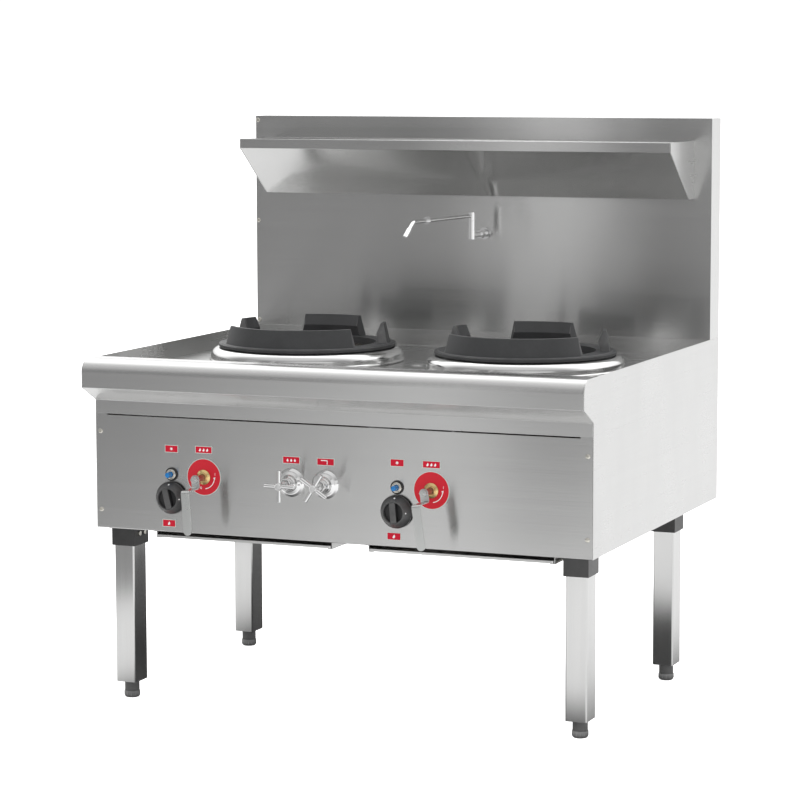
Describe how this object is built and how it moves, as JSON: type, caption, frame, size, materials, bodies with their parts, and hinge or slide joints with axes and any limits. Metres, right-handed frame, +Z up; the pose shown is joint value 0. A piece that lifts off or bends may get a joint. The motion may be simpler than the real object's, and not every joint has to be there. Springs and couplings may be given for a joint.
{
  "type": "wok range",
  "caption": "Gas wok range on box legs with recessed burners in raised collars, cast wok rings, lever valves, taps, drip trays, splashback, overshelf and swivel faucet.",
  "frame": {"origin": "on the floor, under the centre of the overall box", "axes": "+Z up, +X to the cook's right, -Y towards the cook"},
  "size_m": [1.2, 1.051, 1.33],
  "materials": {
    "steel": "brushed stainless sheet",
    "polished_steel": "polished stainless",
    "dark_steel": "dark weathered steel",
    "cast_iron": "sand-cast grain",
    "chrome": "polished",
    "zinc": "satin zinc plate",
    "brass": "machined",
    "copper": "dull, mauve-brown",
    "painted_pipe": "grey paint",
    "water_pipe": "drawn tube",
    "bezel": "satin",
    "black_plastic": "satin",
    "blue_plastic": "gloss",
    "red_label": "gloss, printed"
  },
  "bodies": {
    "range": {"side_panel_left": "steel", "side_panel_right": "steel", "front_nose": "steel", "front_panel": "steel", "rear_panel": "steel", "deck_pan": "steel", "deck_drain": "polished_steel", "burner_collar_left": "polished_steel", "burner_collar_right": "polished_steel", "combustion_chamber_left": "cast_iron", "combustion_chamber_right": "cast_iron", "burner_head_left": "cast_iron", "burner_head_right": "cast_iron", "splashback": "steel", "splashback_rear_cover": "steel", "overshelf": "steel", "shelf_end_plates": "steel", "shelf_seam_strip": "steel", "base_frame_side_rails": "steel", "base_frame_cross_rails": "steel", "leg_sockets": "dark_steel", "leg_front_left": "steel", "leg_front_right": "steel", "leg_rear_left": "steel", "leg_rear_right": "steel", "tray_runners": "steel", "gas_manifold": "painted_pipe", "burner_gas_tubes": "painted_pipe", "main_valve_body_left": "brass", "main_valve_body_right": "brass", "pilot_valve_bodies": "brass", "igniter_housings": "bezel", "water_valve_bodies": "brass", "tap_escutcheons": "chrome", "water_pipes": "water_pipe", "faucet_body": "chrome", "label_plates": "red_label", "sheet_screws": "polished_steel", "socket_bolts": "dark_steel"},
    "wok_ring_left": {"wok_ring_left": "cast_iron"},
    "drip_tray_left": {"drip_tray_left": "steel"},
    "main_valve_left": {"valve_stem_left": "copper", "valve_lever_left": "zinc"},
    "pilot_spindle_left": {"pilot_spindle_left": "brass"},
    "pilot_knob_left": {"pilot_knob_left": "black_plastic"},
    "igniter_button_left": {"igniter_button_left": "blue_plastic"},
    "wok_ring_right": {"wok_ring_right": "cast_iron"},
    "drip_tray_right": {"drip_tray_right": "steel"},
    "main_valve_right": {"valve_stem_right": "copper", "valve_lever_right": "zinc"},
    "pilot_spindle_right": {"pilot_spindle_right": "brass"},
    "pilot_knob_right": {"pilot_knob_right": "black_plastic"},
    "igniter_button_right": {"igniter_button_right": "blue_plastic"},
    "tap_handle_tank": {"tap_handle_tank": "chrome"},
    "tap_handle_faucet": {"tap_handle_faucet": "chrome"},
    "spout": {"faucet_spout": "chrome"},
    "levelling_foot_front_left": {"levelling_foot_front_left": "zinc"},
    "levelling_foot_front_right": {"levelling_foot_front_right": "zinc"},
    "levelling_foot_rear_left": {"levelling_foot_rear_left": "zinc"},
    "levelling_foot_rear_right": {"levelling_foot_rear_right": "zinc"}
  },
  "joints": [
    {"name": "wok_ring_lift_left", "type": "slide", "parent": "range", "child": "wok_ring_left", "axis": [0, 0, 1], "range_m": [0, 0.25]},
    {"name": "drip_tray_slide_left", "type": "slide", "parent": "range", "child": "drip_tray_left", "axis": [0, -1, 0], "range_m": [0, 0.45]},
    {"name": "main_valve_turn_left", "type": "hinge", "parent": "range", "child": "main_valve_left", "pos_m": [-0.3255, -0.4245, 0.537], "axis": [0, -1, 0], "range_deg": [-3.7, 86.3]},
    {"name": "pilot_turn_left", "type": "hinge", "parent": "range", "child": "pilot_spindle_left", "pos_m": [-0.4065, -0.4245, 0.486], "axis": [0, -1, 0], "range_deg": [-14, 76]},
    {"name": "pilot_push_left", "type": "slide", "parent": "pilot_spindle_left", "child": "pilot_knob_left", "axis": [0, 1, 0], "range_m": [0, 0.0025], "stiffness_N_per_m": 900, "springref_m": -0.003},
    {"name": "igniter_press_left", "type": "slide", "parent": "range", "child": "igniter_button_left", "axis": [0, 1, 0], "range_m": [0, 0.005], "stiffness_N_per_m": 400, "springref_m": -0.003},
    {"name": "wok_ring_lift_right", "type": "slide", "parent": "range", "child": "wok_ring_right", "axis": [0, 0, 1], "range_m": [0, 0.25]},
    {"name": "drip_tray_slide_right", "type": "slide", "parent": "range", "child": "drip_tray_right", "axis": [0, -1, 0], "range_m": [0, 0.45]},
    {"name": "main_valve_turn_right", "type": "hinge", "parent": "range", "child": "main_valve_right", "pos_m": [0.2275, -0.4245, 0.537], "axis": [0, -1, 0], "range_deg": [-8, 82]},
    {"name": "pilot_turn_right", "type": "hinge", "parent": "range", "child": "pilot_spindle_right", "pos_m": [0.1465, -0.4245, 0.486], "axis": [0, -1, 0], "range_deg": [-5, 85]},
    {"name": "pilot_push_right", "type": "slide", "parent": "pilot_spindle_right", "child": "pilot_knob_right", "axis": [0, 1, 0], "range_m": [0, 0.0025], "stiffness_N_per_m": 900, "springref_m": -0.003},
    {"name": "igniter_press_right", "type": "slide", "parent": "range", "child": "igniter_button_right", "axis": [0, 1, 0], "range_m": [0, 0.005], "stiffness_N_per_m": 400, "springref_m": -0.003},
    {"name": "tap_turn_tank", "type": "hinge", "parent": "range", "child": "tap_handle_tank", "pos_m": [-0.1085, -0.4245, 0.5365], "axis": [0, -1, 0], "range_deg": [0, 540]},
    {"name": "tap_turn_faucet", "type": "hinge", "parent": "range", "child": "tap_handle_faucet", "pos_m": [-0.025, -0.4245, 0.5365], "axis": [0, -1, 0], "range_deg": [0, 540]},
    {"name": "spout_swivel", "type": "hinge", "parent": "range", "child": "spout", "pos_m": [0.021, 0.3605, 1.08], "axis": [0, 0, 1], "range_deg": [-79, 91]},
    {"name": "levelling_foot_extend_front_left", "type": "slide", "parent": "range", "child": "levelling_foot_front_left", "axis": [0, 0, -1], "range_m": [0, 0.025]},
    {"name": "levelling_foot_extend_front_right", "type": "slide", "parent": "range", "child": "levelling_foot_front_right", "axis": [0, 0, -1], "range_m": [0, 0.025]},
    {"name": "levelling_foot_extend_rear_left", "type": "slide", "parent": "range", "child": "levelling_foot_rear_left", "axis": [0, 0, -1], "range_m": [0, 0.025]},
    {"name": "levelling_foot_extend_rear_right", "type": "slide", "parent": "range", "child": "levelling_foot_rear_right", "axis": [0, 0, -1], "range_m": [0, 0.025]}
  ]
}
